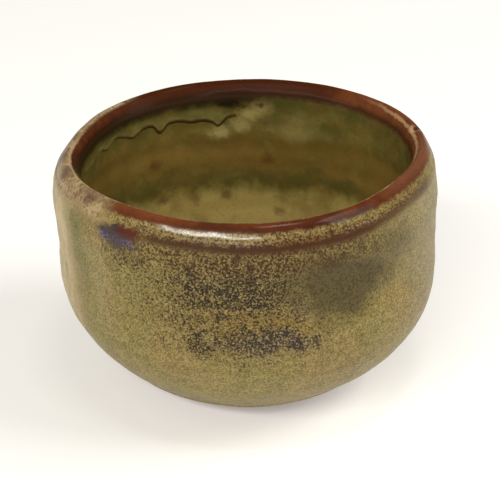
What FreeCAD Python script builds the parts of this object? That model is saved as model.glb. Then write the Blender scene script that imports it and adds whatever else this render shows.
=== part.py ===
import FreeCAD, Part
import math
import os
import Sketcher

# Matcha bowl, millimetres, +Z up. The origin is the middle of the foot's resting plane.
# Angles run counter-clockwise from +X; the side at 270 degrees is the front.

doc = FreeCAD.newDocument("MatchaBowl")

# ---------------------------------------------------------------- dimensions
sheet = doc.addObject("Spreadsheet::Sheet", "Dimensions")

DIMENSIONS = (
    # foot ring, trimmed from the clay and left bare
    ("foot_height", 6.0, "foot ring, floor to the bowl's underside"),
    ("foot_top_radius", 29.4, "foot ring, outside where it meets the bowl"),
    ("foot_rest_radius", 27.4, "outer edge of the resting face"),
    ("foot_bevel_radius", 28.3, "outside, top of the worn bevel"),
    ("foot_bevel_height", 1.0, "height of the worn bevel"),
    ("foot_rest_inner", 23.4, "inner edge of the resting face"),
    ("foot_bore_bevel", 22.6, "inside, top of the worn bevel"),
    ("foot_bore_top", 21.6, "inside where it meets the bowl"),
    # clay section, from the underside up the outside
    ("underside_radius", 30.0, "flat underside of the bowl"),
    ("base_radius", 36.8, "start of the bowl's curve"),
    ("base_height", 7.4, ""),
    ("hip_radius", 45.2, "turn from base to wall"),
    ("hip_height", 13.4, ""),
    ("flank_radius", 52.3, "lower wall"),
    ("flank_height", 21.6, ""),
    ("belly_radius", 56.7, "belly"),
    ("belly_height", 30.8, ""),
    ("wall_radius", 58.3, "upright wall"),
    ("wall_height", 40.0, ""),
    ("waist_radius", 58.5, "slight waist under the shoulder"),
    ("waist_height", 49.2, ""),
    ("swell_radius", 59.0, "swell into the shoulder"),
    ("swell_height", 58.4, ""),
    ("shoulder_radius", 59.3, "widest, just under the lip"),
    ("shoulder_height", 66.8, ""),
    ("turn_radius", 57.8, "lip, outside"),
    ("turn_height", 72.8, ""),
    ("crest_radius", 54.9, "lip, highest ring"),
    ("crest_height", 76.1, ""),
    # clay section, from the lip down the inside
    ("lip_inner_radius", 52.2, "lip, inside"),
    ("lip_inner_height", 72.6, ""),
    ("throat_radius", 52.2, "inside, under the lip"),
    ("throat_height", 66.0, ""),
    ("inner_swell_radius", 53.0, "inside, upper wall"),
    ("inner_swell_height", 57.5, ""),
    ("inner_wall_radius", 52.8, "inside, middle wall"),
    ("inner_wall_height", 48.0, ""),
    ("inner_belly_radius", 52.0, "inside, lower wall"),
    ("inner_belly_height", 38.0, ""),
    ("inner_flank_radius", 49.2, "inside, turn to the floor"),
    ("inner_flank_height", 28.0, ""),
    ("inner_hip_radius", 42.6, "inside, curve of the floor"),
    ("inner_hip_height", 18.9, ""),
    ("floor_edge_radius", 32.0, "edge of the tea pool"),
    ("floor_edge_height", 13.6, ""),
    ("pool_slope_radius", 20.0, "slope into the tea pool"),
    ("pool_slope_height", 11.7, ""),
    ("pool_radius", 12.0, "flat middle of the tea pool"),
    ("pool_height", 11.4, ""),
    # unevenness left by the wheel and the hand, each a wave around the bowl
    ("sway_start", 14.0, "height where the rim's waves begin"),
    ("rim_one", 1.60, "rim radius, one wave round"),
    ("rim_one_at", 113.0, "angle of its crest"),
    ("rim_two", 0.33, "rim radius, two waves round"),
    ("rim_two_at", 113.0, "angle of its crest times two"),
    ("rim_three", 1.73, "rim radius, three waves round"),
    ("rim_three_at", 67.0, ""),
    ("rim_four", 2.07, "rim radius, four waves round"),
    ("rim_four_at", 122.0, ""),
    ("rim_five", 0.31, "rim radius, five waves round"),
    ("rim_five_at", 283.0, ""),
    ("lift_one", 1.10, "lip height, one wave round"),
    ("lift_one_at", 99.0, ""),
    ("lift_two", 1.01, "lip height, two waves round"),
    ("lift_two_at", 153.0, ""),
    ("lift_three", 1.40, "lip height, three waves round"),
    ("lift_three_at", 219.5, ""),
    ("lean", 0.30, "wall leaning off centre"),
    ("lean_at", 326.0, ""),
    ("oval", 1.30, "wall pressed oval"),
    ("oval_at", 296.0, ""),
    # places where the soft wall was pressed in
    ("press_depth", 0.8, "deepest point of each pressed dent"),
    ("press_width", 11.0, "degrees round from its middle"),
    ("press_tall", 8.0, "up and down from its middle"),
    ("front_press_at", 296.0, "angle of the front dent"),
    ("front_press_height", 57.0, ""),
    ("left_press_at", 178.0, "angle of the left dent"),
    ("left_press_height", 51.0, ""),
    # glazes
    ("glaze_depth", 0.7, "fired glaze on the clay"),
    ("overlap_depth", 0.45, "second coat where two dips cross"),
    ("foot_line", 8.0, "height where the outer glaze stops above the foot"),
    ("band_outer", 73.2, "outer edge of the iron lip band"),
    ("band_inner", 73.4, "inner edge of the iron lip band"),
    ("overlap_top", 72.4, "upper edge of the second coat, inside"),
    ("overlap_drop", 7.2, "how far down the second coat ran"),
    ("overlap_run", 1.1, "its runs and scallops"),
    ("overlap_from", 94.0, "angle where the second coat begins"),
    ("overlap_to", 178.0, "angle where the second coat ends"),
)

for row, (alias, value, note) in enumerate(DIMENSIONS, start=1):
    sheet.set("A%d" % row, alias)
    sheet.set("B%d" % row, str(value))
    sheet.set("C%d" % row, note)
    sheet.setAlias("B%d" % row, alias)
doc.recompute()


def size(alias):
    """A dimension from the spreadsheet, in mm or degrees."""
    return float(sheet.get(alias))


# ------------------------------------------------------------------ foot ring
def plane_of(body, role):
    """One of a body's own origin planes."""
    return next(f for f in body.Origin.OriginFeatures if f.Role == role)


foot = doc.addObject("PartDesign::Body", "foot_ring")
foot.Label = "foot_ring"
ring = foot.newObject("Sketcher::SketchObject", "foot_section")
ring.AttachmentSupport = (plane_of(foot, "XZ_Plane"), [""])
ring.MapMode = "FlatFace"

# corners of the ring's section, each a radius and a height from the sheet
CORNERS = (
    ("foot_rest_inner", None),
    ("foot_rest_radius", None),
    ("foot_bevel_radius", "foot_bevel_height"),
    ("foot_top_radius", "foot_height"),
    ("foot_bore_top", "foot_height"),
    ("foot_bore_bevel", "foot_bevel_height"),
)
spots = [
    FreeCAD.Vector(size(radius), size(height) if height else 0, 0)
    for radius, height in CORNERS
]
for n, spot in enumerate(spots):
    ring.addGeometry(Part.LineSegment(spot, spots[(n + 1) % len(spots)]), False)
for n in range(len(spots)):
    ring.addConstraint(Sketcher.Constraint("Coincident", n, 2, (n + 1) % len(spots), 1))
for n, (radius, height) in enumerate(CORNERS):
    across = ring.addConstraint(Sketcher.Constraint("DistanceX", -1, 1, n, 1, spots[n].x))
    ring.setExpression("Constraints[%d]" % across, "Dimensions.%s" % radius)
    if height:
        up = ring.addConstraint(Sketcher.Constraint("DistanceY", -1, 1, n, 1, spots[n].y))
        ring.setExpression("Constraints[%d]" % up, "Dimensions.%s" % height)
    else:
        ring.addConstraint(Sketcher.Constraint("PointOnObject", n, 1, -1))
turned = foot.newObject("PartDesign::Revolution", "foot_turned")
turned.Profile = ring
turned.ReferenceAxis = (ring, ["V_Axis"])
turned.Angle = 360.0
foot.Placement = FreeCAD.Placement(FreeCAD.Vector(0, 0, 0), FreeCAD.Rotation())


# ---------------------------------------------------------- section of the wall
OUTSIDE = (
    "base", "hip", "flank", "belly", "wall", "waist", "swell", "shoulder", "turn",
)
INSIDE = (
    "lip_inner", "throat", "inner_swell", "inner_wall", "inner_belly", "inner_flank",
    "inner_hip", "floor_edge", "pool_slope", "pool",
)


def station(name):
    """A point of the wall's section."""
    return FreeCAD.Vector(size(name + "_radius"), 0, size(name + "_height"))


stations = [FreeCAD.Vector(size("underside_radius"), 0, size("foot_height"))]
stations += [station(name) for name in OUTSIDE]
stations.append(station("crest"))
stations += [station(name) for name in INSIDE]

# each station's place along the section, as a share of its length
lengths = [0.0]
for last, here in zip(stations, stations[1:]):
    lengths.append(lengths[-1] + last.distanceToPoint(here))
shares = [length / lengths[-1] for length in lengths]

section = Part.BSplineCurve()
section.interpolate(Points=stations, Parameters=shares)
CREST = shares[len(OUTSIDE) + 1]


def section_point(share, depth):
    """The section's point at a share of its length, raised off the clay by a depth."""
    spot = section.value(share)
    along = section.tangent(share)[0]
    outward = FreeCAD.Vector(along.z, 0, -along.x)
    return spot + outward.multiply(depth)


def share_at(height, low, high):
    """Where the section crosses a height, between two shares of its length."""
    rising = section.value(high).z > section.value(low).z
    for _ in range(40):
        middle = (low + high) / 2
        if (section.value(middle).z < height) == rising:
            low = middle
        else:
            high = middle
    return (low + high) / 2


# ------------------------------------------------------------ unevenness by hand
def wave(name, count, angle):
    """One wave of the rim or wall at an angle in degrees."""
    return size(name) * math.cos(math.radians(count * angle - size(name + "_at")))


def pressed(name, angle, height):
    """How far a dent pushes the wall in."""
    round_off = (angle - size(name + "_at") + 180.0) % 360.0 - 180.0
    up_off = height - size(name + "_height")
    spread = (round_off / size("press_width")) ** 2 + (up_off / size("press_tall")) ** 2
    return size("press_depth") * math.exp(-spread)


def waves_at(angle):
    """The radius wave of the rim, the height wave of the lip and the wave of the wall."""
    rim = wave("rim_one", 1, angle) + wave("rim_two", 2, angle)
    rim += wave("rim_three", 3, angle) + wave("rim_four", 4, angle)
    rim += wave("rim_five", 5, angle)
    lift = wave("lift_one", 1, angle) + wave("lift_two", 2, angle)
    lift += wave("lift_three", 3, angle)
    wall = wave("lean", 1, angle) + wave("oval", 2, angle)
    return rim, lift, wall


def thrown(spot, angle):
    """A section point carried round the bowl to an angle, uneven as the wall is."""
    top = size("crest_height")
    rim, lift, wall = waves_at(angle)
    sway = max(0.0, (spot.z - size("sway_start")) / (top - size("sway_start"))) ** 2
    bulge = math.sin(math.pi * min(1.0, spot.z / top)) * min(1.0, spot.x / 45.0)
    radius = spot.x + sway * rim + bulge * wall
    radius -= pressed("front_press", angle, spot.z) + pressed("left_press", angle, spot.z)
    turn = math.radians(angle)
    height = spot.z + sway * lift
    return FreeCAD.Vector(radius * math.cos(turn), radius * math.sin(turn), height)


# ------------------------------------------------------------------- surfaces
ROUND = 48  # control points round the bowl
STEP = 360.0 / ROUND
# a smooth closed curve runs a little inside its control points
SWELL = 6.0 / (4.0 + 2.0 * math.cos(math.radians(STEP)))


def control_ring(spot):
    """Control points of one closed ring round the bowl."""
    points = []
    for n in range(ROUND):
        at = thrown(spot, n * STEP)
        points.append(FreeCAD.Vector(at.x * SWELL, at.y * SWELL, at.z))
    return points


def turned_face(spots, straight=False):
    """The closed face that passes through section points carried round the bowl."""
    rings = [control_ring(spot) for spot in spots]
    if straight:
        poles = [[ring_points[n] for ring_points in rings] for n in range(ROUND)]
        knots, counts, degree = [0.0, 1.0], [2, 2], 1
    else:
        steps = [n / (len(spots) - 1) for n in range(len(spots))]
        poles = []
        for n in range(ROUND):
            rib = Part.BSplineCurve()
            rib.interpolate(Points=[points[n] for points in rings], Parameters=steps)
            poles.append(rib.getPoles())
        knots, counts, degree = rib.getKnots(), rib.getMultiplicities(), rib.Degree
    surface = Part.BSplineSurface()
    surface.buildFromPolesMultsKnots(
        poles, [1] * (ROUND + 1), counts,
        [float(n) for n in range(ROUND + 1)], knots, True, False, 3, degree,
    )
    return surface.toShape()


def ring_edge(spot):
    """The closed edge that a section point draws round the bowl."""
    edge = Part.BSplineCurve()
    edge.buildFromPolesMultsKnots(
        control_ring(spot), [1] * (ROUND + 1),
        [float(n) for n in range(ROUND + 1)], True, 3,
    )
    return edge.toShape()


def disc(spot):
    """The flat face inside a ring."""
    return Part.Face(Part.Wire([ring_edge(spot)]))


def solid_of(faces):
    """One solid inside a closed set of faces."""
    skin = Part.Compound(faces)
    skin.sewShape(1e-3)
    solid = Part.Solid(skin.Shells[0])
    if solid.Volume < 0:
        solid.reverse()
    return solid


def run(low, high, count, depth):
    """Section points from one share of the length to another."""
    steps = [low + (high - low) * n / (count - 1) for n in range(count)]
    return [section_point(share, depth) for share in steps]


def add(label, shape):
    """A document object that carries one finished piece."""
    piece = doc.addObject("Part::Feature", label)
    piece.Label = label
    piece.Shape = shape
    piece.Placement = FreeCAD.Placement(FreeCAD.Vector(0, 0, 0), FreeCAD.Rotation())
    return piece


# ------------------------------------------------------------------ clay bowl
wall = run(0.0, 1.0, 61, 0.0)
clay = add("stoneware_bowl", solid_of([disc(wall[0]), turned_face(wall), disc(wall[-1])]))


# --------------------------------------------------------------------- glazes
def glaze_band(low, high, count):
    """Glaze over the clay between two shares of the section, closed at both edges."""
    depth = size("glaze_depth")
    below = run(low, high, count, 0.0)
    above = run(low, high, count, depth)
    return [
        turned_face(below),
        turned_face(above),
        turned_face([below[0], above[0]], straight=True),
        turned_face([below[-1], above[-1]], straight=True),
    ]


foot_line = share_at(size("foot_line"), 0.0, CREST)
band_outer = share_at(size("band_outer"), 0.0, CREST)
band_inner = share_at(size("band_inner"), CREST, shares[len(OUTSIDE) + 2])

outer = add("outer_glaze", solid_of(glaze_band(foot_line, band_outer, 25)))
lip = add("lip_glaze", solid_of(glaze_band(band_outer, band_inner, 9)))

below = run(band_inner, 1.0, 31, 0.0)
above = run(band_inner, 1.0, 31, size("glaze_depth"))
inner = add("inner_glaze", solid_of([
    turned_face(below),
    turned_face(above),
    turned_face([below[0], above[0]], straight=True),
    disc(below[-1]),
    disc(above[-1]),
]))


# second coat inside, hanging from the lip over part of the wall
def overlap_edge(angle):
    """Height of the second coat's lower edge, which ran in soft scallops."""
    along = (angle - size("overlap_from")) / (size("overlap_to") - size("overlap_from"))
    scallop = 0.6 * math.cos(math.radians(angle * 9.0))
    scallop += 0.4 * math.cos(math.radians(angle * 17.0 + 40.0))
    drop = size("overlap_drop") * (1.0 - 0.25 * along)
    return size("overlap_top") - drop - size("overlap_run") * scallop


def overlap_sheet(depth):
    """A smooth open surface of the second coat at a depth over the clay."""
    first, last = size("overlap_from"), size("overlap_to")
    rows = []
    for n in range(43):
        angle = first + (last - first) * n / 42
        top = share_at(size("overlap_top"), CREST, shares[-1])
        low = share_at(overlap_edge(angle), CREST, shares[-1])
        steps = [top + (low - top) * m / 6 for m in range(7)]
        rows.append([thrown(section_point(share, depth), angle) for share in steps])
    sheet_surface = Part.BSplineSurface()
    sheet_surface.interpolate(rows)
    return sheet_surface


bed = overlap_sheet(size("glaze_depth"))
coat = overlap_sheet(size("glaze_depth") + size("overlap_depth"))
u_low, u_high, v_low, v_high = bed.bounds()
sides = [
    Part.makeRuledSurface(bed.uIso(u_low).toShape(), coat.uIso(u_low).toShape()),
    Part.makeRuledSurface(bed.uIso(u_high).toShape(), coat.uIso(u_high).toShape()),
    Part.makeRuledSurface(bed.vIso(v_low).toShape(), coat.vIso(v_low).toShape()),
    Part.makeRuledSurface(bed.vIso(v_high).toShape(), coat.vIso(v_high).toShape()),
]
overlap = add("overlap_glaze", solid_of([bed.toShape(), coat.toShape()] + sides))

# ------------------------------------------------------------ check and export
doc.recompute()
for item in doc.Objects:
    if "Invalid" in item.State or "Error" in item.State:
        raise RuntimeError("%s did not compute: %s" % (item.Label, item.State))

PIECES = (foot, clay, outer, lip, inner, overlap)
for piece in PIECES:
    shape = piece.Shape
    if shape.isNull() or not shape.isValid() or shape.Volume <= 0:
        raise RuntimeError("%s has no valid shape" % piece.Label)

os.makedirs("parts", exist_ok=True)
for piece in PIECES:
    piece.Shape.exportStep("parts/%s.step" % piece.Label)
    box = piece.Shape.BoundBox
    print("%-15s volume %9.1f mm3, box %.2f..%.2f, %.2f..%.2f, %.2f..%.2f" % (
        piece.Label, piece.Shape.Volume,
        box.XMin, box.XMax, box.YMin, box.YMax, box.ZMin, box.ZMax,
    ))
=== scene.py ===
import bmesh
import bpy
import functools
import math
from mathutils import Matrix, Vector, noise


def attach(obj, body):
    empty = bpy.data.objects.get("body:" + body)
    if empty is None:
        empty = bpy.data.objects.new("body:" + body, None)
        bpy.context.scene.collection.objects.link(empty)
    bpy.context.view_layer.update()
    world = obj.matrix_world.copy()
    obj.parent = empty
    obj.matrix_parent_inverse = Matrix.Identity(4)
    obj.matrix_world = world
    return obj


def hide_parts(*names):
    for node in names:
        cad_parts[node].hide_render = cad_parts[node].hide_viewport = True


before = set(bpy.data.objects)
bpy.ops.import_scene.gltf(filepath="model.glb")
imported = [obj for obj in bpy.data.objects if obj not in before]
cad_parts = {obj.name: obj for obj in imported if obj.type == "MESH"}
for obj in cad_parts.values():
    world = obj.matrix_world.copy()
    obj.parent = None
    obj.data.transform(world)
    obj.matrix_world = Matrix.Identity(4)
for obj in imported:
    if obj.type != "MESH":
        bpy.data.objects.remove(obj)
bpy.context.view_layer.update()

# Lengths are in millimetres while a piece is being shaped, and metres once it is finished.
MM = 0.001

# ------------------------------------------------------------------ the thrown section
# Radius and height of the clay, from the flat underside up the outside to the lip's crest,
# and from the crest down the inside to the middle of the tea pool.
OUTSIDE = (
    (30.0, 6.0), (36.8, 7.4), (45.2, 13.4), (52.3, 21.6), (56.7, 30.8), (58.3, 40.0),
    (58.5, 49.2), (59.0, 58.4), (59.3, 66.8), (57.8, 72.8), (54.9, 76.1),
)
INSIDE = (
    (52.2, 72.6), (52.2, 66.0), (53.0, 57.5), (52.8, 48.0), (52.0, 38.0), (49.2, 28.0),
    (42.6, 18.9), (32.0, 13.6), (20.0, 11.7), (12.0, 11.4), (0.0, 11.4),
)
CREST_HEIGHT = 76.1
GLAZE = 0.7
FULL_RADIUS = 45.0  # from here out the wall takes all of its unevenness

# How the wheel and the hand left the wall: (size, angle of the crest, waves round).
RIM_WAVES = ((1.60, 113, 1), (0.33, 113, 2), (1.73, 67, 3), (2.07, 122, 4), (0.31, 283, 5))
LIP_WAVES = ((1.10, 99, 1), (1.01, 153, 2), (1.40, 219.5, 3))
WALL_WAVES = ((0.30, 326, 1), (1.30, 296, 2))
SWAY_START = 14.0  # height where the rim's and the lip's waves begin
# Pressed places: (angle, height), and their depth, width in degrees and height.
PRESSES = ((296, 57), (178, 51))
PRESS_DEPTH, PRESS_WIDTH, PRESS_TALL = 0.8, 11.0, 8.0
# A small nick on the lip.
NICK_ANGLE, NICK_DROP = 19.5, -0.2


class Section:
    """A smooth line through section points, measured along its length."""

    def __init__(self, points):
        self.points = [Vector(point) for point in points]
        self.marks = [0.0]
        for last, here in zip(self.points, self.points[1:]):
            self.marks.append(self.marks[-1] + (here - last).length)
        self.length = self.marks[-1]
        self.slopes = [self.slope(n) for n in range(len(self.points))]

    def slope(self, n):
        """The line's direction at one of its points."""
        points, marks = self.points, self.marks
        low, high = max(n - 1, 0), min(n + 1, len(points) - 1)
        if low == n or high == n:
            return (points[high] - points[low]) / (marks[high] - marks[low])
        before, after = marks[n] - marks[low], marks[high] - marks[n]
        rise = (points[n] - points[low]) / before * after
        fall = (points[high] - points[n]) / after * before
        return (rise + fall) / (before + after)

    def at(self, mark):
        """The point at a length along the line."""
        mark = min(max(mark, 0.0), self.length)
        n = max(i for i in range(len(self.points) - 1) if self.marks[i] <= mark)
        span = self.marks[n + 1] - self.marks[n]
        t = (mark - self.marks[n]) / span
        a, b = self.points[n], self.points[n + 1]
        ta, tb = self.slopes[n] * span, self.slopes[n + 1] * span
        return (
            a * (2 * t**3 - 3 * t**2 + 1) + ta * (t**3 - 2 * t**2 + t)
            + b * (3 * t**2 - 2 * t**3) + tb * (t**3 - t**2)
        )

    def raised(self, mark, depth):
        """The point at a length along the line, raised off the clay."""
        along = self.at(mark + 0.05) - self.at(mark - 0.05)
        return self.at(mark) + Vector((along.y, -along.x)).normalized() * depth


clay_section = Section(OUTSIDE + INSIDE)
CREST = clay_section.marks[len(OUTSIDE) - 1]


def wave(waves, angle):
    """The height of a set of waves at an angle in degrees."""
    return sum(size * math.cos(math.radians(count * angle - at)) for size, at, count in waves)


@functools.lru_cache(maxsize=None)
def shape_at(angle):
    """What the waves and the presses do at an angle in degrees, at full strength."""
    presses = tuple(near(angle, middle, PRESS_WIDTH) * PRESS_DEPTH for middle, _ in PRESSES)
    return wave(RIM_WAVES, angle), wave(LIP_WAVES, angle), wave(WALL_WAVES, angle), presses


def thrown(radius, height, angle):
    """A section point carried round the bowl to an angle in degrees, uneven as the wall is."""
    rim, lift, wall, presses = shape_at(round(angle, 3))
    sway = max(0.0, (height - SWAY_START) / (CREST_HEIGHT - SWAY_START)) ** 2
    outward = min(1.0, radius / FULL_RADIUS)
    bulge = math.sin(math.pi * min(1.0, height / CREST_HEIGHT)) * outward
    reach = radius + sway * rim + bulge * wall
    for depth, (_, middle) in zip(presses, PRESSES):
        reach -= depth * math.exp(-(((height - middle) / PRESS_TALL) ** 2)) * outward
    turn = math.radians(angle)
    return Vector((reach * math.cos(turn), reach * math.sin(turn), height + sway * lift))


# ----------------------------------------------------------------------- relief
def lumps(place, size, seed):
    """Soft unevenness between -1 and 1 of about a given size."""
    return noise.noise(Vector(place) / size + Vector((seed, seed * 0.7, seed * 1.3)))


def step_up(value, low, high):
    """0 below low, 1 above high, smooth between."""
    t = min(1.0, max(0.0, (value - low) / (high - low)))
    return t * t * (3.0 - 2.0 * t)


def near(angle, middle, width):
    """1 at an angle, falling to 0 about a width away."""
    off = (angle - middle + 180.0) % 360.0 - 180.0
    return math.exp(-((off / width) ** 2))


def outside_relief(place, angle, drop):
    """Throwing lines and soft facets of the outside, in mm."""
    height = place.z + 1.6 * lumps(place, 40.0, 3.0)
    rings = 0.10 * math.sin(height * 0.74) + 0.05 * math.sin(height * 1.9 + 1.0)
    rings *= step_up(height, 14.0, 30.0) * (0.6 + 0.4 * lumps(place, 30.0, 8.0))
    facets = 0.26 * lumps(place, 24.0, 1.0) + 0.09 * lumps(place, 9.0, 2.0)
    ripple = 0.035 * lumps(place, 3.2, 6.0)
    # a shallow groove below the lip, where the wall turns in
    groove = -0.12 * math.exp(-(((drop - 9.5) / 1.6) ** 2))
    return rings + facets + ripple + groove - 0.17


def inside_relief(place, angle, drop):
    """Throwing spiral and finger marks of the inside, in mm."""
    height = place.z + 2.0 * lumps(place, 35.0, 13.0) + angle / 360.0 * 7.5
    spiral = 0.11 * math.sin(height * 2.0 * math.pi / 7.5)
    spiral *= step_up(-drop, 6.0, 14.0) * step_up(place.xy.length, 6.0, 22.0)
    return spiral + 0.36 * lumps(place, 16.0, 11.0) + 0.09 * lumps(place, 6.0, 12.0)


def lip_relief(place, angle, drop):
    """Soft hand-wiped unevenness of the lip, in mm."""
    side = outside_relief(place, angle, drop) if drop > 0 else inside_relief(place, angle, drop)
    crest = 0.28 * lumps(place, 15.0, 21.0) + 0.10 * lumps(place, 5.5, 22.0) - 0.2
    blend = step_up(abs(drop), 2.0, 5.0)
    return side * blend + crest * (1.0 - blend) + nick(angle, drop)


def nick(angle, drop):
    """A small bare nick on the crest with a curl of glaze round its inner side, in mm."""
    # along and across the lip from the nick, leaning a little
    along = ((angle - NICK_ANGLE + 180.0) % 360.0 - 180.0) * 0.96
    across = drop - NICK_DROP - 0.22 * along
    pit = -0.75 * math.exp(-((along / 2.1) ** 2) - (across / 0.95) ** 2)
    ring = math.hypot(along / 2.9, across / 1.75)
    inner_side = step_up(0.6 - across - 0.35 * along, 0.0, 1.2)
    return pit + 0.42 * math.exp(-(((ring - 1.0) / 0.26) ** 2)) * inner_side


# ---------------------------------------------------------------------- lathe work
SPLIT = 8  # each turn of the spin is split again into this many


def lathe(name, line, turns, closed, relief):
    """Spin a section line into a piece and press it into its uneven shape.

    Each point of the line is a radius, a height, its length below the crest (outside
    is positive) and how much of the relief it takes.
    """
    bm = bmesh.new()
    drop, show, reach, order = (
        bm.verts.layers.float.new(layer) for layer in ("drop", "show", "reach", "order")
    )
    ring = []
    for number, (radius, height, below, seen) in enumerate(line):
        vert = bm.verts.new((radius, 0.0, height))
        vert[drop], vert[show], vert[reach], vert[order] = below, seen, radius, number
        ring.append(vert)
    edges = [bm.edges.new(pair) for pair in zip(ring, ring[1:])]
    if closed:
        edges.append(bm.edges.new((ring[-1], ring[0])))
    bmesh.ops.spin(
        bm, geom=ring + edges, cent=(0, 0, 0), axis=(0, 0, 1),
        angle=2.0 * math.pi, steps=turns // SPLIT, use_merge=True,
    )
    bmesh.ops.remove_doubles(bm, verts=bm.verts[:], dist=1e-4)
    hoops = [edge for edge in bm.edges if edge.verts[0][order] == edge.verts[1][order]]
    bmesh.ops.subdivide_edges(bm, edges=hoops, cuts=SPLIT - 1, use_grid_fill=True)
    bmesh.ops.recalc_face_normals(bm, faces=bm.faces[:])
    for vert in bm.verts:
        angle = math.degrees(math.atan2(vert.co.y, vert.co.x))
        vert.co = thrown(vert[reach], vert.co.z, angle)
    bm.normal_update()
    moved = []
    for vert in bm.verts:
        angle = math.degrees(math.atan2(vert.co.y, vert.co.x))
        rise = vert[show] * relief(vert.co, angle, vert[drop]) if vert[show] else 0.0
        moved.append(vert.co + vert.normal * rise)
    for vert, place in zip(bm.verts, moved):
        vert.co = place
    return finished(name, bm)


def finished(name, bm):
    """Turn a shaped bmesh, in mm, into a smooth object in metres."""
    bmesh.ops.scale(bm, vec=(MM, MM, MM), verts=bm.verts[:])
    for face in bm.faces:
        face.smooth = True
    mesh = bpy.data.meshes.new(name)
    bm.to_mesh(mesh)
    bm.free()
    piece = bpy.data.objects.new(name, mesh)
    bpy.context.scene.collection.objects.link(piece)
    return piece


def rows(low, high, spacing):
    """Lengths from low to high, about a spacing apart."""
    count = max(2, round(abs(high - low) / spacing) + 1)
    return [low + (high - low) * n / (count - 1) for n in range(count)]


def skin(marks, depth_at, seen=1.0):
    """Section points over the clay, each raised by a depth that follows its length."""
    points = []
    for mark in marks:
        spot = clay_section.raised(mark, depth_at(mark))
        points.append((max(spot.x, 0.0), spot.y, CREST - mark, seen))
    return points


def bed(marks, depth):
    """Section points on the clay under a glaze, out of sight."""
    return skin(marks, lambda mark: depth, 0.0)


# ------------------------------------------------------------------------ pieces
FOOT_LINE = clay_section.marks[1] + 1.4  # where the outer glaze stops above the foot
LIP_OUT, LIP_IN = CREST - 6.0, CREST + 5.4  # the two edges of the lip's coat
LAP = 3.0  # how far from the crest its neighbours end beneath it


def outer_depth(mark):
    """Glaze depth outside: a rolled edge above the foot, even above it."""
    edge = mark - FOOT_LINE
    rolled = 0.55 * math.exp(-(((edge - 1.3) / 1.3) ** 2))
    tucked = 0.25 * step_up(mark, CREST - 5.3, CREST - 3.3)
    return (GLAZE + rolled - tucked) * math.sqrt(step_up(edge, -0.05, 1.1)) + 0.02


def inner_depth(mark):
    """Glaze depth inside: even, its rim tucked under the lip's coat."""
    return GLAZE - 0.25 * (1.0 - step_up(mark, CREST + 3.3, CREST + 5.2))


def lip_depth(mark):
    """The lip's coat: sunk at both edges so that it runs out into its neighbours."""
    edge = min(mark - LIP_OUT, LIP_IN - mark)
    return GLAZE - 0.16 + 0.24 * step_up(edge, 0.0, 2.6)


def coat(name, low, high, depth_at, spacing, bed_spacing, turns):
    """A glaze coat between two lengths: out along its skin and back along its bed."""
    line = skin(rows(low, high, spacing), depth_at) + bed(rows(high, low, bed_spacing), 0.03)
    return lathe(name, line, turns, True, lip_relief)


outer = coat("outer_glaze_coat", FOOT_LINE, CREST - LAP, outer_depth, 0.55, 2.5, 400)
lip = coat("lip_glaze_coat", LIP_OUT, LIP_IN, lip_depth, 0.28, 1.2, 480)
inner = coat("inner_glaze_coat", CREST + LAP, clay_section.length, inner_depth, 0.62, 2.5, 360)


# the clay body, its base trimmed in rings round the foot and inside it
BARE_TOP = 16.0  # the turning marks end at this height, under the glaze


def clay_relief(place, angle, drop):
    """Turning marks and coarse grain of the bare clay, in mm."""
    radius = place.xy.length
    cut = 0.05 * math.sin(radius * 2.0 * math.pi / 1.7 + math.radians(angle))
    cut += 0.05 * lumps(place, 2.6, 31.0) + 0.16 * lumps(place, 13.0, 32.0)
    return cut * step_up(BARE_TOP - place.z, 0.0, 4.0)


base_radius, base_height = OUTSIDE[0]
clay_line = [(0.0, base_height - 0.02, CREST, 0.0)]
clay_line += [(radius, base_height, CREST, 0.0) for radius in rows(1.2, base_radius - 0.6, 0.6)]
clay_line += bed(rows(0.0, 22.0, 0.7), 0.0)
clay_line = [
    (radius, height, drop, 0.8 if height < BARE_TOP else 0.0)
    for radius, height, drop, _ in clay_line
]
clay_line += bed(rows(24.0, clay_section.length, 2.4), -0.05)
clay = lathe("clay_body", clay_line, 240, False, clay_relief)


# the foot ring, turned with a soft bevel, a flat rest and a shallow undercut
def foot_relief(place, angle, drop):
    """Turning marks and wear on the foot, in mm."""
    lift = step_up(place.z, 0.4, 2.2)
    marks = 0.06 * math.sin(place.z * 4.4 + math.radians(angle))
    return lift * (marks + 0.10 * lumps(place, 5.0, 41.0) + 0.05 * lumps(place, 1.8, 42.0))


foot_corners = (
    (21.6, 6.0), (22.0, 3.6), (22.6, 1.0), (22.9, 0.35), (23.4, 0.0), (24.4, 0.0),
    (26.4, 0.0), (27.4, 0.0), (27.95, 0.3), (28.3, 1.0), (28.8, 3.6), (29.4, 6.0),
)
foot_side = Section(foot_corners)
foot_line = []
for mark in rows(0.0, foot_side.length, 0.32):
    spot = foot_side.at(mark)
    foot_line.append((spot.x, max(0.0, spot.y), 0.0, 1.0))
foot_line += [(28.0, 6.0, 0.0, 0.0), (25.5, 6.0, 0.0, 0.0), (23.0, 6.0, 0.0, 0.0)]
foot = lathe("foot_ring_turned", foot_line, 300, True, foot_relief)


# the second coat inside the lip, a patch laid over the inner glaze
COAT_FROM, COAT_TO = 92.0, 180.0
RUN_POINTS = (
    (92, 65.2), (97, 65.0), (100.5, 62.4), (103, 63.9), (106, 64.6), (110, 64.5),
    (116, 65.6), (119, 65.3), (122, 62.8), (125.5, 66.0), (129, 66.2), (134, 64.4),
    (138, 65.8), (143, 67.2), (149, 65.0), (154, 66.4), (160, 65.6), (168, 64.6), (180, 66.0),
)
run_edge = Section(RUN_POINTS)


def last_mark(low, high, holds):
    """The greatest length at which a test that fails only further on still holds."""
    for _ in range(24):
        middle = (low + high) / 2.0
        if holds(middle):
            low = middle
        else:
            high = middle
    return low


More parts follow.
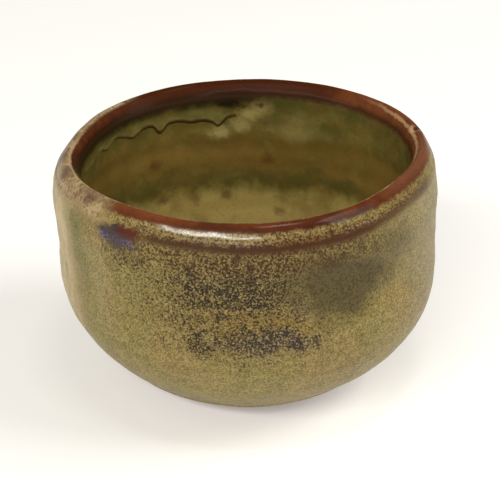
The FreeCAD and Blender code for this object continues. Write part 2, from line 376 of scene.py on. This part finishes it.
def run_height(angle):
    """Height of the second coat's lower edge at an angle."""
    mark = last_mark(0.0, run_edge.length, lambda mark: run_edge.at(mark).x < angle)
    return run_edge.at(mark).y


def mark_at(height):
    """The length along the inside where the section is at a height."""
    well_below = clay_section.marks[len(OUTSIDE) + 4]
    return last_mark(CREST + 2.0, well_below, lambda mark: clay_section.at(mark).y > height)


COLUMNS, COAT_ROWS = 300, 44
COAT_TOP = CREST + 4.6  # its upper edge lies under the lip's coat
BELOW_RUN = 1.2  # the sheet goes on this far under the run edge, sunk in the inner glaze


def second_coat():
    """The sheet of the second coat: a body, a bead along its run edge, and faded ends."""
    bm = bmesh.new()
    drop_layer, run_layer = (bm.verts.layers.float.new(layer) for layer in ("drop", "run"))
    bmesh.ops.create_grid(bm, x_segments=COLUMNS, y_segments=COAT_ROWS, size=0.5)
    edge_marks = {}
    for vert in bm.verts:
        across, down = vert.co.x + 0.5, 0.5 - vert.co.y
        angle = COAT_FROM + (COAT_TO - COAT_FROM) * across
        column = round(across * COLUMNS)
        if column not in edge_marks:
            edge_marks[column] = mark_at(run_height(angle))
        mark = COAT_TOP + (edge_marks[column] + BELOW_RUN - COAT_TOP) * down
        drop, above = CREST - mark, edge_marks[column] - mark
        bead = 0.26 * math.exp(-(((above - 0.55) / 0.65) ** 2))
        body = 0.16 * step_up(above, -0.45, 0.6) + bead * step_up(above, -0.5, 0.3)
        body *= step_up(across, 0.0, 0.08) * step_up(1.0 - across, 0.0, 0.12)
        held = step_up(above + BELOW_RUN, 0.0, 0.9) * step_up(mark - COAT_TOP, 0.6, 3.0)
        spot = clay_section.raised(mark, GLAZE - 0.10 - 0.20 * (1.0 - held))
        place = thrown(spot.x, spot.y, angle)
        vert[drop_layer], vert[run_layer] = drop, above
        turn = math.radians(angle)
        inward = Vector((-math.cos(turn), -math.sin(turn), 0.0))
        vert.co = place + inward * (inside_relief(place, angle, drop) + body + 0.06)
    bmesh.ops.recalc_face_normals(bm, faces=bm.faces[:])
    piece = finished("overlap_glaze_coat", bm)
    shell = piece.modifiers.new("coat", "SOLIDIFY")
    shell.thickness, shell.offset = 0.35 * MM, -1.0
    return piece


overlap = second_coat()

for piece, node, slot in (
    (outer, "outer_glaze", "olive_glaze"),
    (lip, "lip_glaze", "iron_glaze"),
    (inner, "inner_glaze", "ochre_glaze"),
    (overlap, "overlap_glaze", "grey_glaze"),
    (clay, "stoneware_bowl", "stoneware"),
    (foot, "foot_ring", "bare_clay"),
):
    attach(piece, "root")
    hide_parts(node)

# --------------------------------------------------------------------- materials
def tone(red, green, blue):
    """A colour from 0 to 255 a channel, turned linear."""
    channels = [c / 255.0 for c in (red, green, blue)]
    return tuple(c / 12.92 if c <= 0.04045 else ((c + 0.055) / 1.055) ** 2.4 for c in channels)


class Value:
    """A socket that can stand in a sum."""

    def __init__(self, recipe, socket):
        self.recipe, self.socket = recipe, socket

    def math(self, operation, *others):
        values = dict(enumerate((self,) + others))
        return self.recipe.node("ShaderNodeMath", {"operation": operation}, values)

    def __add__(self, other):
        return self.math("ADD", other)

    def __sub__(self, other):
        return self.math("SUBTRACT", other)

    def __mul__(self, other):
        return self.math("MULTIPLY", other)

    def __rsub__(self, other):
        return self.recipe.node("ShaderNodeMath", {"operation": "SUBTRACT"}, {0: other, 1: self})

    __radd__, __rmul__ = __add__, __mul__

    def most(self, other):
        return self.math("MAXIMUM", other)

    def least(self, other):
        return self.math("MINIMUM", other)

    def size(self):
        return self.math("ABSOLUTE")


class Recipe:
    """A material being mixed, with its places in millimetres."""

    def __init__(self, name):
        self.material = bpy.data.materials.new(name)
        self.material.use_nodes = True
        self.tree = self.material.node_tree
        self.tree.nodes.clear()
        where = self.node("ShaderNodeTexCoord", {}, {}, "Object")
        self.place = self.vector("SCALE", where, Scale=1.0 / MM)

    def node(self, kind, settings, values, output=0):
        """Any node: its settings first, then the values or links of its sockets."""
        made = self.tree.nodes.new(kind)
        for setting, choice in settings.items():
            setattr(made, setting, choice)
        for socket, value in values.items():
            if isinstance(value, Value):
                self.tree.links.new(value.socket, made.inputs[socket])
            else:
                made.inputs[socket].default_value = value
        return Value(self, made.outputs[output]) if len(made.outputs) else None

    def vector(self, operation, first, second=None, output=0, **more):
        values = {0: first, **more}
        if second is not None:
            values[1] = second
        return self.node("ShaderNodeVectorMath", {"operation": operation}, values, output)

    def layer(self, name):
        """A value that the piece's mesh carries."""
        return self.node("ShaderNodeAttribute", {"attribute_name": name}, {}, "Fac")

    def noise(self, size, seed=0.0, detail=2.0, rough=0.55, place=None, output="Fac"):
        """Cloudy noise whose lumps are about a size in mm."""
        where = self.vector("ADD", place or self.place, (seed * 31.0, seed * 17.0, seed * 23.0))
        values = {"Vector": where, "Scale": 1.0 / size, "Detail": detail, "Roughness": rough}
        return self.node("ShaderNodeTexNoise", {}, values, output)

    def bent(self, size, amount, seed):
        """The place pushed about by noise, for ragged edges."""
        push = self.noise(size, seed, 3.0, 0.6, output="Color")
        push = self.vector("SUBTRACT", push, (0.5, 0.5, 0.5))
        push = self.vector("SCALE", push, Scale=amount * 2.0)
        return self.vector("ADD", self.place, push)

    def fade(self, value, low, high):
        """0 at low, 1 at high, smooth between; low may be the larger."""
        values = {"Value": value, "From Min": low, "From Max": high}
        return self.node("ShaderNodeMapRange", {"interpolation_type": "SMOOTHSTEP"}, values)

    def patch(self, place, centre, reach, soft=0.7):
        """1 within a patch, fading out at its reach."""
        off = self.vector("SUBTRACT", place, centre)
        off = self.vector("DIVIDE", off, reach)
        return self.fade(self.vector("LENGTH", off, output="Value"), 1.0, 1.0 - soft)

    def clouds(self, place, table):
        """Patches of different strengths, added up."""
        total = 0.0
        for strength, centre, reach, soft in table:
            total = strength * self.patch(place, centre, reach, soft) + total
        return total

    def arc(self, place, low, high, soft=8.0):
        """1 on the part of the bowl between two angles, fading out past them."""
        flat = self.vector("MULTIPLY", place, (1.0, 1.0, 0.0))
        flat = self.vector("NORMALIZE", flat)
        middle, half = math.radians((low + high) / 2.0), (high - low) / 2.0
        towards = (math.cos(middle), math.sin(middle), 0.0)
        facing = self.vector("DOT_PRODUCT", flat, towards, output="Value")
        far = math.cos(math.radians(min(180.0, half + soft)))
        return self.fade(facing, far, math.cos(math.radians(max(0.0, half - soft))))

    def height(self, place):
        """The height of a place."""
        return self.node("ShaderNodeSeparateXYZ", {}, {0: place}, "Z")

    def mix(self, share, first, second):
        """A colour between two, each a colour or a link."""
        values = {0: share}
        for socket, colour in ((6, first), (7, second)):
            values[socket] = colour if isinstance(colour, Value) else (*colour, 1.0)
        return self.node("ShaderNodeMix", {"data_type": "RGBA"}, values, 2)

    def finish(self, colour, rough, relief, depth, coat=0.0, coat_rough=0.12, glint=0.5):
        """Put the colour, roughness and fine relief, whose depth is in mm, on one surface."""
        bump = {"Height": relief, "Distance": depth * MM, "Strength": 1.0}
        values = {
            "Base Color": colour, "Roughness": rough, "Coat Weight": coat,
            "Coat Roughness": coat_rough, "Specular IOR Level": glint, "IOR": 1.5,
            "Normal": self.node("ShaderNodeBump", {}, bump),
        }
        surface = self.node("ShaderNodeBsdfPrincipled", {}, values)
        self.node("ShaderNodeOutputMaterial", {}, {"Surface": surface})
        return self.material


# glaze colours
KHAKI, STRAW, MOSS = tone(136, 121, 66), tone(146, 131, 76), tone(126, 114, 60)
GREY_OLIVE, OCHRE, SAND = tone(132, 118, 80), tone(134, 108, 52), tone(136, 113, 68)
BLUSH, PALE_FLECK = tone(206, 184, 142), tone(172, 157, 102)
SOOT, SLATE, UMBER = tone(26, 19, 9), tone(46, 38, 36), tone(84, 66, 32)
IRON, RUST, OXBLOOD = tone(78, 36, 10), tone(98, 48, 18), tone(40, 12, 10)
LILAC, PLUM, BRICK, HAZE = tone(94, 90, 160), tone(40, 28, 48), tone(80, 26, 12), tone(60, 50, 52)


# where the iron came up as specks outside: (strength, middle, reach, softness)
SPECK_CLOUDS = (
    (0.56, (-3.0, -56.5, 53.0), (48.0, 34.0, 28.0), 0.8),
    (0.34, (0.0, -58.0, 61.0), (32.0, 22.0, 12.0), 0.8),
    (0.27, (5.0, -58.5, 54.5), (18.0, 14.0, 6.4), 0.9),
    (0.66, (6.0, -58.5, 40.8), (20.0, 14.0, 5.8), 0.9),
    (0.34, (-13.0, -56.0, 39.0), (6.5, 9.0, 4.5), 0.7),
    (0.22, (24.0, -53.0, 66.0), (16.0, 14.0, 5.0), 0.7),
    (0.24, (-9.0, -57.5, 54.0), (15.0, 12.0, 7.0), 0.9),
    (0.30, (-35.0, -46.0, 62.0), (14.0, 12.0, 6.0), 0.7),
)


def outside_ground(r, soft, height):
    """The olive glaze before the iron came up, and the warm band across its front."""
    colour = r.mix(r.fade(r.noise(15.0, 3.0, 3.0), 0.38, 0.62), MOSS, KHAKI)
    colour = r.mix(r.fade(r.noise(6.0, 6.0, 3.0), 0.48, 0.68) * 0.5, colour, STRAW)
    colour = r.mix(r.fade(r.noise(20.0, 7.0), 0.48, 0.66) * 0.6, colour, SAND)
    # the smoother, greyer right flank and the ochre under it
    for share, centre, reach, tint in (
        (0.6, (56.0, -20.0, 54.0), (22.0, 28.0, 30.0), GREY_OLIVE),
        (0.5, (44.0, -40.0, 46.0), (14.0, 12.0, 9.0), OCHRE),
        (0.5, (30.0, -46.0, 26.0), (22.0, 14.0, 9.0), SAND),
    ):
        colour = r.mix(r.patch(soft, centre, reach) * share, colour, tint)
    # pale, green and grey-brown runs down the left flank
    runs = r.noise(4.6, 11.0, 2.0, place=r.vector("MULTIPLY", soft, (1.0, 1.0, 0.13)))
    flank = r.arc(soft, 176.0, 224.0, 10.0)
    colour = r.mix(flank * r.fade(runs, 0.50, 0.40) * 0.55, colour, tone(116, 116, 58))
    colour = r.mix(flank * r.fade(runs, 0.52, 0.62) * 0.6, colour, tone(128, 106, 72))
    blush = r.arc(r.bent(14.0, 9.0, 13.0), 187.0, 205.0, 11.0) * r.fade(height, 12.0, 38.0)
    colour = r.mix(blush * (0.45 + 0.35 * r.fade(runs, 0.42, 0.60)), colour, BLUSH)
    streak = r.patch(soft, (-47.8, -34.8, 64.0), (5.2, 5.8, 22.0), 0.7) * 0.8
    colour = r.mix(streak, colour, tone(108, 106, 56))
    streak = r.patch(soft, (-43.0, -40.0, 50.0), (6.0, 6.0, 26.0), 0.8) * 0.45
    colour = r.mix(streak, colour, tone(150, 136, 96))
    warm = r.patch(soft, (7.0, -58.5, 47.4), (31.0, 18.0, 4.6), 0.8)
    return r.mix(warm * 0.55, colour, OCHRE), warm


def peppered(r, colour, soft, grain, specks, warm):
    """Salt and pepper over the glaze, the pepper thickening to dark specks with the iron."""
    # the violet tinge of the two thickest clusters
    violet = r.patch(soft, (7.0, -58.5, 40.0), (22.0, 14.0, 6.8), 0.9).most(
        r.patch(soft, (18.0, -56.0, 51.0), (7.0, 9.0, 5.0)) * 0.7
    )
    colour = r.mix(r.fade(specks, 0.0, 0.85) * 0.88, colour, UMBER)
    colour = r.mix(violet * 0.45, colour, tone(104, 90, 80))
    smooth = 1.0 - 0.65 * r.arc(soft, 172.0, 213.0, 14.0)
    thick = r.fade(specks, 0.1, 0.7)
    pale = r.mix(warm, PALE_FLECK, tone(176, 142, 66))
    pale = r.mix(thick * 0.55, pale, tone(140, 124, 74))
    colour = r.mix(r.fade(grain, 0.50, 0.30) * smooth * 0.5, colour, pale)
    colour = r.mix(r.fade(grain, 0.46, 0.66) * smooth * 0.5, colour, UMBER)
    reach = 0.690 - 0.215 * specks
    speck = r.fade(grain - reach, -0.055, 0.055) * r.fade(specks, -0.35, 0.55)
    colour = r.mix(speck * 0.94, colour, r.mix(violet * 0.8, SOOT, SLATE))
    # finer dust over everything
    dust = r.noise(0.42, 14.0, 1.0, 0.6)
    dusty = smooth * (0.35 + 0.35 * thick)
    colour = r.mix(r.fade(dust, 0.48, 0.32) * dusty, colour, tone(50, 38, 19))
    light = r.fade(dust, 0.56, 0.72) * dusty * (1.0 - 0.5 * speck)
    return r.mix(light, colour, tone(176, 158, 110))


def under_the_lip(r, colour, soft, grain, drop):
    """The iron line that runs round under the lip, and the speckled crest above it."""
    sink = 6.5 - 1.0 * r.arc(soft, 312.0, 350.0, 12.0)
    line = drop + 1.6 * (r.noise(9.0, 10.0) - 0.5) + 2.6 * (grain - 0.5)
    line = r.fade((line - sink).size(), 2.2, 0.2) * r.arc(soft, 240.0, 346.0, 6.0)
    line = line * (0.70 + 0.25 * r.arc(soft, 245.0, 312.0, 14.0))
    colour = r.mix(line, colour, tone(60, 27, 10))
    below = r.fade((drop - 10.0).size(), 7.5, 1.0) * r.arc(soft, 236.0, 304.0, 12.0)
    below = below * (0.18 + 0.62 * r.fade(grain, 0.44, 0.60))
    colour = r.mix(below, colour, tone(68, 38, 16))
    rusty = r.arc(soft, 274.0, 304.0, 7.0) * r.fade((drop - 6.4).size(), 3.4, 1.0)
    rusty = rusty * (0.35 + 0.55 * r.fade(grain, 0.42, 0.58))
    colour = r.mix(rusty, colour, tone(66, 36, 15))
    crest = r.fade((drop - 4.2).size(), 2.6, 1.0) * r.arc(soft, 236.0, 345.0, 6.0)
    crest = crest * (1.0 - 0.3 * r.arc(soft, 292.0, 350.0, 8.0))
    cream = r.mix(r.arc(soft, 284.0, 350.0, 10.0), tone(152, 134, 88), tone(122, 102, 64))
    cream = r.mix(r.fade(drop, 3.0, 5.4) * 0.6, cream, tone(96, 66, 34))
    sprinkle = r.mix(r.fade(grain, 0.40, 0.64), cream, tone(66, 38, 16))
    return r.mix(crest * 0.62, colour, sprinkle), crest


def violet_bloom(r, colour, grain):
    """The blue-violet bloom and its red-brown fringe on the left shoulder."""
    ragged = r.bent(2.6, 2.4, 2.0)
    plum = r.patch(ragged, (-37.4, -45.0, 69.2), (8.2, 7.6, 3.2), 0.6) * 0.85
    brick = r.patch(ragged, (-33.2, -47.8, 69.6), (5.6, 5.4, 3.0), 0.6) * 0.9
    haze = r.patch(ragged, (-36.0, -46.6, 66.6), (10.0, 9.0, 4.2), 0.9) * 0.85
    bloom = r.patch(ragged, (-38.6, -44.6, 67.3), (4.4, 4.4, 1.3), 0.8)
    bloom = bloom.most(r.patch(ragged, (-33.6, -48.2, 66.6), (4.6, 4.4, 1.0), 0.8) * 0.8)
    bloom = bloom * r.fade(grain, 0.58, 0.42) * 0.9
    for share, tint in ((plum, PLUM), (brick, BRICK), (haze, HAZE), (bloom, LILAC)):
        colour = r.mix(share, colour, tint)
    return colour


def outside_pattern(r, drop):
    """Colour of the outer glaze with a painted dark reflection on the right, its grain, how grainy it
    is, and its speckled crest.
    """
    soft = r.bent(11.0, 6.0, 1.0)
    wide = r.bent(16.0, 11.0, 12.0)
    height = r.height(soft)
    grain = r.noise(0.64, 4.0, 1.0, 0.6) + 0.34 * (r.noise(2.6, 5.0, 2.0) - 0.5)
    colour, warm = outside_ground(r, soft, height)
    # a painted dark reflection: a smooth darker patch over the pressed place on the right
    dark_reflection = r.patch(wide, (26.0, -53.0, 58.0), (26.0, 20.0, 17.0), 0.75)
    dark_reflection = dark_reflection.most(r.patch(wide, (40.0, -43.0, 62.0), (24.0, 20.0, 14.0), 0.9) * 0.6)
    # how thickly the iron has come up
    far_side = r.arc(soft, 20.0, 170.0, 20.0) * r.fade(r.noise(22.0, 8.0), 0.48, 0.68)
    specks = r.clouds(soft, SPECK_CLOUDS) - 0.06 * warm
    specks = specks + 0.75 * far_side * r.fade(height, 24.0, 44.0)
    specks = specks * (0.5 + r.noise(5.5, 9.0, 3.0, 0.6)) * (1.0 - 0.8 * dark_reflection)
    colour = peppered(r, colour, soft, grain, specks, warm)
    # the painted dark reflection's colour, laid over the pressed place where the specks thin out
    dark_reflection_tone = r.mix(r.fade(grain, 0.42, 0.62), tone(82, 71, 38), tone(60, 51, 25))
    colour = r.mix((dark_reflection * 1.15).least(0.95), colour, dark_reflection_tone)
    colour, crest = under_the_lip(r, colour, soft, grain, drop)
    colour = violet_bloom(r, colour, grain)
    grainy = r.fade(specks, 0.0, 0.5).most(crest)
    return r.vector("MULTIPLY", colour, (0.98, 0.965, 0.92)), grain, grainy, crest


def inside_pattern(r, drop):
    """Colour of the inner glaze with painted shade under the lip and round the wall and painted light
    on the lower wall, and its grain.
    """
    soft = r.bent(9.0, 7.0, 21.0)
    ragged = r.bent(3.0, 2.4, 22.0)
    grain = r.noise(0.9, 24.0, 2.0, 0.6)
    height = r.height(soft)
    cloudy = r.fade(r.noise(9.0, 23.0, 4.0, 0.6), 0.38, 0.64)
    colour = r.mix(cloudy, tone(104, 96, 44), tone(128, 108, 52))
    colour = r.mix(r.fade(r.noise(6.0, 25.0, 3.0), 0.5, 0.72) * 0.55, colour, tone(136, 128, 66))
    warm = r.fade((height - 54.0).size(), 10.0, 3.0)
    colour = r.mix(warm * (0.2 + 0.6 * r.noise(8.0, 26.0)), colour, tone(132, 98, 44))
    # painted shade: a darker band round the wall at about 45 mm, under the soft ridge of the inner
    # waist
    band = r.fade((height - 45.0).size(), 5.0, 1.0)
    colour = r.mix(band * (0.2 + 0.5 * r.noise(14.0, 29.0)), colour, tone(78, 66, 28))
    # painted light: the lower wall, which tilts up towards the light, made paler
    low = r.fade(height, 43.0, 35.0)
    colour = r.mix(low * 0.75, colour, tone(180, 158, 92))
    colour = r.mix(low * r.fade(r.noise(11.0, 27.0), 0.5, 0.66) * 0.45, colour, tone(124, 94, 50))
    # pale streak from the lip, beside the end of the second coat
    pale = r.patch(soft, (16.0, 48.0, 64.0), (18.0, 14.0, 8.0), 0.9) * 0.45
    for centre in ((5.0, 49.5, 71.0), (1.7, 50.1, 68.5), (-2.0, 51.0, 64.5), (-9.0, 50.5, 61.5)):
        pale = pale.most(r.patch(ragged, centre, (6.5, 9.0, 4.2), 0.9))
    colour = r.mix(pale * 0.9, colour, tone(184, 166, 104))
    # a few rusty spots
    for centre, reach in (
        ((-17.7, 48.5, 37.4), (3.4, 8.0, 3.0)), ((-28.5, 44.6, 38.8), (3.2, 8.0, 2.4)),
        ((-7.1, 50.5, 38.3), (2.6, 8.0, 2.2)), ((-31.2, 44.6, 51.5), (3.0, 8.0, 2.6)),
        ((12.0, 49.0, 33.0), (3.0, 8.0, 2.2)), ((8.0, 50.0, 52.0), (4.0, 8.0, 4.0)),
    ):
        colour = r.mix(r.patch(ragged, centre, reach, 0.95) * 0.6, colour, tone(88, 48, 22))
    spot = r.patch(ragged, (5.0, 49.5, 71.6), (2.2, 6.0, 1.6), 0.9) * 0.8
    colour = r.mix(spot, colour, tone(84, 44, 20))
    # painted shade under the lip: a near-black band round the top of the inner wall, strongest at the
    # back and left
    edge = drop + 3.4 * (r.noise(5.0, 28.0, 3.0) - 0.5)
    under = r.fade(edge, -10.2, -5.4) * (1.0 - 0.7 * r.arc(soft, 200.0, 446.0, 12.0))
    under = under.most(r.patch(ragged, (-7.0, 50.5, 72.6), (9.5, 8.0, 4.6), 0.7))
    colour = r.mix(under * 0.95, colour, tone(24, 14, 5))
    colour = r.mix(r.fade(grain, 0.52, 0.7) * 0.2, colour, tone(80, 60, 28))
    return r.vector("MULTIPLY", colour, (0.76, 0.76, 0.74)), grain


def lip_pattern(r, drop, outside, inside):
    """The iron band over its neighbours, with painted shade on its inner side, and how much of it
    there is.
    """
    soft = r.bent(8.0, 4.0, 41.0)
    jitter = 0.9 * (r.noise(0.8, 43.0, 2.0, 0.7) - 0.5)
    edge = drop + 1.5 * (r.noise(3.6, 42.0, 3.0, 0.65) - 0.5) + jitter
    back = r.arc(soft, -8.0, 188.0, 10.0)
    iron_pool_and_shade = r.arc(soft, 88.0, 188.0, 12.0)
    iron = r.mix(r.fade(r.noise(6.0, 44.0, 3.0), 0.4, 0.65), IRON, RUST)
    iron = r.mix(r.arc(soft, 222.0, 250.0, 8.0) * 0.5, iron, tone(124, 66, 32))
    iron = r.mix(r.arc(soft, 60.0, 140.0, 14.0) * 0.85, iron, tone(62, 26, 6))
    # the right stretch of the lip in lighter tan: partly the glaze's own colour, partly a painted
    # sheen
    iron = r.mix(r.arc(soft, 0.0, 50.0, 12.0) * 0.35, iron, tone(132, 80, 50))
    iron = r.mix(r.arc(soft, 320.0, 366.0, 12.0) * 0.55, iron, tone(128, 78, 48))
    iron = r.mix(r.fade(edge, 0.6, 2.6) * (1.0 - back) * 0.5, iron, tone(64, 28, 16))
    bruise = r.arc(soft, 286.0, 306.0, 5.0) * r.fade((edge - 2.8).size(), 2.2, 0.6)
    iron = r.mix(bruise * 0.45, iron, OXBLOOD)
    iron = r.mix(r.fade(r.noise(1.3, 45.0, 2.0), 0.55, 0.7) * 0.25, iron, SOOT)
    # brown-black inner side of the lip beneath the crest: partly iron pooled there, partly painted
    # shade under the rolled lip
    iron = r.mix(r.fade(edge, -2.2, -5.0) * iron_pool_and_shade * 0.92, iron, tone(30, 15, 4))
    iron = r.mix(r.fade(edge, -2.6, -4.6) * back * 0.8, iron, tone(50, 30, 10))

    reach_out = r.fade(edge, 3.4, 2.3)
    # at the back the band reaches further in, over the painted shade beneath the crest
    reach_in = r.fade(edge, -1.9, -0.9).most(r.fade(edge, -6.2, -4.4) * back)
    reach_in = reach_in.most(r.fade(edge, -7.2, -5.0) * iron_pool_and_shade)
    band = reach_out * reach_in
    # the left stretch broke to cream and tan, with purple-brown blots
    left = r.arc(soft, 132.0, 226.0, 6.0) * r.fade(drop, -1.6, -0.4)
    left = left.most(r.arc(soft, 98.0, 140.0, 7.0) * r.fade(drop, 0.1, 1.1))
    colour = r.mix(r.fade(drop, -0.4, 0.4), inside, outside)
    colour = r.mix(band * (1.0 - left), colour, iron)
    cloudy = r.fade(r.noise(3.4, 46.0, 4.0, 0.65), 0.40, 0.62)
    cream = r.mix(cloudy, tone(150, 127, 91), tone(174, 151, 112))
    blots = r.fade(r.noise(10.0, 47.0, 4.0, 0.66), 0.52, 0.60) * r.fade(drop, 5.0, 2.5) * 0.7
    ragged = r.bent(5.0, 3.4, 49.0)
    for centre, reach in (
        ((-55.5, -7.0, 75.0), (7.0, 8.5, 5.6)), ((-52.0, -20.0, 76.0), (5.0, 4.6, 4.4)),
        ((-43.5, -35.0, 75.6), (6.0, 5.6, 3.8)), ((-55.0, 9.0, 77.0), (5.5, 7.0, 3.4)),
    ):
        blots = blots.most(r.patch(ragged, centre, reach, 0.7))
    cream = r.mix(blots * 0.82, cream, tone(94, 63, 48))
    cream = r.mix(r.fade(r.noise(1.1, 48.0, 2.0, 0.7), 0.52, 0.62) * 0.6, cream, tone(80, 52, 34))
    colour = r.mix(left * r.fade(drop, 8.5, 5.0) * 0.92, colour, cream)
    # the thin pale line along the inner edge: partly where the glaze broke thin over it, partly a
    # painted highlight where light catches the crest
    inward = 0.75 + 0.9 * r.arc(soft, -24.0, 40.0, 15.0)
    pale_edge_and_glint = r.fade((edge + inward).size(), 0.7, 0.2) * (1.0 - r.arc(soft, 38.0, 170.0, 12.0))
    colour = r.mix(pale_edge_and_glint * 0.8, colour, tone(182, 146, 104))
    return colour, band * (1.0 - left)


def nick_pattern(r, colour):
    """The bare nick on the crest and the pale curl beside it."""
    at = thrown(54.9, 76.9, NICK_ANGLE)
    curl = r.patch(r.place, (at.x - 0.9, at.y - 0.7, at.z - 0.2), (2.6, 3.3, 2.4), 0.5)
    colour = r.mix(curl * 0.75, colour, tone(176, 142, 98))
    return r.mix(r.patch(r.place, tuple(at), (1.35, 2.2, 2.2), 0.45) * 0.95, colour, tone(60, 28, 16))


def outer_recipe():
    """Olive glaze, grainy where the iron came up and smoother at its crest."""
    r = Recipe("olive_glaze")
    drop = r.layer("drop")
    outside, grain, grainy, crest = outside_pattern(r, drop)
    colour, _ = lip_pattern(r, drop, outside, KHAKI)
    rough = 0.42 + 0.16 * grainy * grain + 0.16 * (r.noise(5.0, 61.0) - 0.5) - 0.2 * crest
    relief = grain * (0.35 + grainy) + 0.6 * r.noise(1.6, 62.0, 2.0)
    return r.finish(colour, rough, relief, 0.10, glint=0.2)


def inner_recipe():
    """Ochre to olive glaze, duller down the wall."""
    r = Recipe("ochre_glaze")
    drop = r.layer("drop")
    inside, grain = inside_pattern(r, drop)
    colour, _ = lip_pattern(r, drop, KHAKI, inside)
    rough = 0.44 + 0.2 * (r.noise(5.0, 63.0) - 0.5) + 0.2 * r.fade(drop, -12.0, -7.0)
    relief = grain * 0.4 + 0.8 * r.noise(2.2, 64.0, 2.0)
    return r.finish(colour, rough, relief, 0.07, glint=0.08)


def lip_recipe():
    """The lip's coat: iron-brown over both glazes, and wettest on its front left."""
    r = Recipe("iron_glaze")
    drop = r.layer("drop")
    outside, grain, grainy, _ = outside_pattern(r, drop)
    inside, _ = inside_pattern(r, drop)
    colour, iron = lip_pattern(r, drop, outside, inside)
    colour = nick_pattern(r, colour)
    rough = 0.34 - 0.08 * iron + 0.14 * grainy * grain * (1.0 - iron)
    rough = rough + 0.3 * r.fade(drop, -0.6, -3.0)
    wet = r.fade(drop, 4.6, 3.2) * (1.0 - 0.7 * iron) * r.arc(r.place, 222.0, 290.0, 12.0)
    shine = 0.02 + 0.12 * r.arc(r.place, 196.0, 280.0, 24.0) + 0.86 * wet
    relief = grain * (0.3 + grainy * (1.0 - iron)) + 0.6 * r.noise(1.6, 62.0, 2.0)
    relief = relief * (1.0 - 0.55 * wet)
    return r.finish(colour, rough, relief, 0.085, coat=shine, coat_rough=0.17, glint=0.05)


def overlap_recipe():
    """Grey-olive second coat, brown where it gathered along its run edge."""
    r = Recipe("grey_glaze")
    drop, run = r.layer("drop"), r.layer("run")
    inside, grain = inside_pattern(r, drop)
    colour, _ = lip_pattern(r, drop, inside, inside)
    coat = r.mix(r.fade(r.noise(6.0, 71.0, 3.0), 0.4, 0.66), tone(98, 90, 46), tone(116, 110, 62))
    ends = r.arc(r.place, 96.0, 174.0, 3.0)
    colour = r.mix(r.fade(run, -0.2, 1.2) * r.fade(drop, -7.0, -9.5) * ends * 0.7, colour, coat)
    edge = run + 0.9 * (r.noise(1.8, 72.0, 2.0) - 0.5)
    strong = 0.2 + 0.62 * r.arc(r.place, 92.0, 132.0, 14.0)
    line = r.fade((edge - 0.45).size(), 1.15, 0.3) * strong
    colour = r.mix(line, colour, tone(60, 29, 9))
    rough = 0.40 + 0.15 * (r.noise(4.0, 73.0) - 0.5)
    return r.finish(colour, rough, grain + r.noise(2.0, 74.0), 0.05, glint=0.08)


def clay_recipe(name, dark, light):
    """Bare fired stoneware: sandy grain, darker scorch and small pits."""
    r = Recipe(name)
    grit = r.noise(0.45, 81.0, 3.0, 0.8)
    colour = r.mix(r.fade(r.noise(9.0, 82.0, 3.0), 0.36, 0.68), dark, light)
    colour = r.mix(r.fade(grit, 0.56, 0.72) * 0.5, colour, tone(56, 38, 28))
    colour = r.mix(r.fade(r.noise(0.8, 83.0, 2.0), 0.62, 0.74) * 0.5, colour, tone(168, 134, 104))
    colour = r.mix(r.fade(r.noise(14.0, 84.0), 0.52, 0.7) * 0.4, colour, tone(84, 52, 38))
    rough = 0.78 + 0.2 * (grit - 0.5)
    return r.finish(colour, rough, grit + 0.7 * r.noise(1.3, 85.0, 2.0), 0.12, glint=0.3)


for piece, material in (
    (outer, outer_recipe()),
    (lip, lip_recipe()),
    (inner, inner_recipe()),
    (overlap, overlap_recipe()),
    (clay, clay_recipe("stoneware", tone(104, 70, 50), tone(132, 94, 68))),
    (foot, clay_recipe("bare_clay", tone(92, 58, 42), tone(122, 82, 60))),
):
    piece.data.materials.append(material)

# ------------------------------------------------------------------ stage and light
world = bpy.data.worlds.new("studio")
bpy.context.scene.world = world
world.use_nodes = True
world.node_tree.nodes["Background"].inputs["Color"].default_value = (1.0, 0.985, 0.94, 1.0)
world.node_tree.nodes["Background"].inputs["Strength"].default_value = 0.28

floor_bm = bmesh.new()
bmesh.ops.create_grid(floor_bm, x_segments=1, y_segments=1, size=4000.0)
floor = finished("floor", floor_bm)
floor_paint = bpy.data.materials.new("floor")
floor_paint.use_nodes = True
paper = floor_paint.node_tree.nodes["Principled BSDF"].inputs
paper["Base Color"].default_value = (0.8, 0.79, 0.77, 1.0)
paper["Roughness"].default_value = 0.8
paper["Emission Color"].default_value = (1.0, 0.985, 0.95, 1.0)
paper["Emission Strength"].default_value = 0.29
floor.data.materials.append(floor_paint)


def lamp(name, azimuth, elevation, distance, size, power, tint):
    """A square soft light aimed at the bowl."""
    light = bpy.data.lights.new(name, "AREA")
    light.shape = "RECTANGLE"
    light.size, light.size_y = size
    light.energy = power
    light.color = tint
    stand = bpy.data.objects.new(name, light)
    a, e = math.radians(azimuth), math.radians(elevation)
    away = Vector((math.sin(a) * math.cos(e), -math.cos(a) * math.cos(e), math.sin(e)))
    aim = Vector((0.0, 0.0, 0.05))
    stand.location = aim + away * distance
    stand.rotation_mode = "QUATERNION"
    stand.rotation_quaternion = away.to_track_quat("Z", "Y")
    bpy.context.scene.collection.objects.link(stand)


lamp("window", -24.0, 37.0, 2.0, (1.35, 0.30), 26.0, (1.0, 0.97, 0.92))
lamp("overhead", 24.0, 76.0, 1.6, (0.35, 0.20), 2.6, (1.0, 0.97, 0.92))
lamp("right", 84.0, 42.0, 2.0, (1.0, 1.0), 23.0, (1.0, 0.98, 0.94))

camera_data = bpy.data.cameras.new("camera")
camera_data.lens = 96.5
camera_data.sensor_width = 36.0
camera = bpy.data.objects.new("camera", camera_data)
camera.location = Vector((-1.1, -382.5, 228.9)) * MM
aim = Vector((1.27, 3.5, 39.35)) * MM
camera.rotation_mode = "QUATERNION"
camera.rotation_quaternion = (aim - camera.location).to_track_quat("-Z", "Y")
bpy.context.scene.collection.objects.link(camera)
bpy.context.scene.camera = camera
bpy.context.scene.view_settings.view_transform = "Standard"
